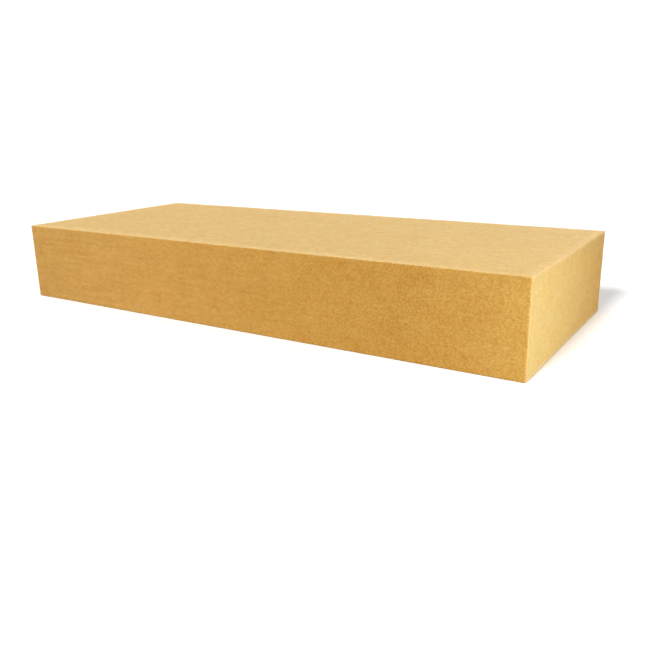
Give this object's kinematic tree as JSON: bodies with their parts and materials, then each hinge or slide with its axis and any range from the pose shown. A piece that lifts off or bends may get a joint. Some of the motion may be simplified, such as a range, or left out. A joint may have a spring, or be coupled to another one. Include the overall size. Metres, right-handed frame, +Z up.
{
  "type": "wood fibre insulation board",
  "caption": "Rigid rectangular wood fibre insulation board with plain square-cut edges and slightly eased arrises, for insulating walls and roofs.",
  "frame": {"origin": "centre of the lower big face, on the surface that the board lies on", "axes": "+X along the length, +Y along the width, +Z up through the thickness"},
  "size_m": [1.4, 0.575, 0.2],
  "materials": {
    "wood_fibre": "matt felted wood fibre, pale on the pressed faces and a little darker on the sawn edges"
  },
  "bodies": {
    "root": {"board": "wood_fibre"}
  },
  "joints": []
}
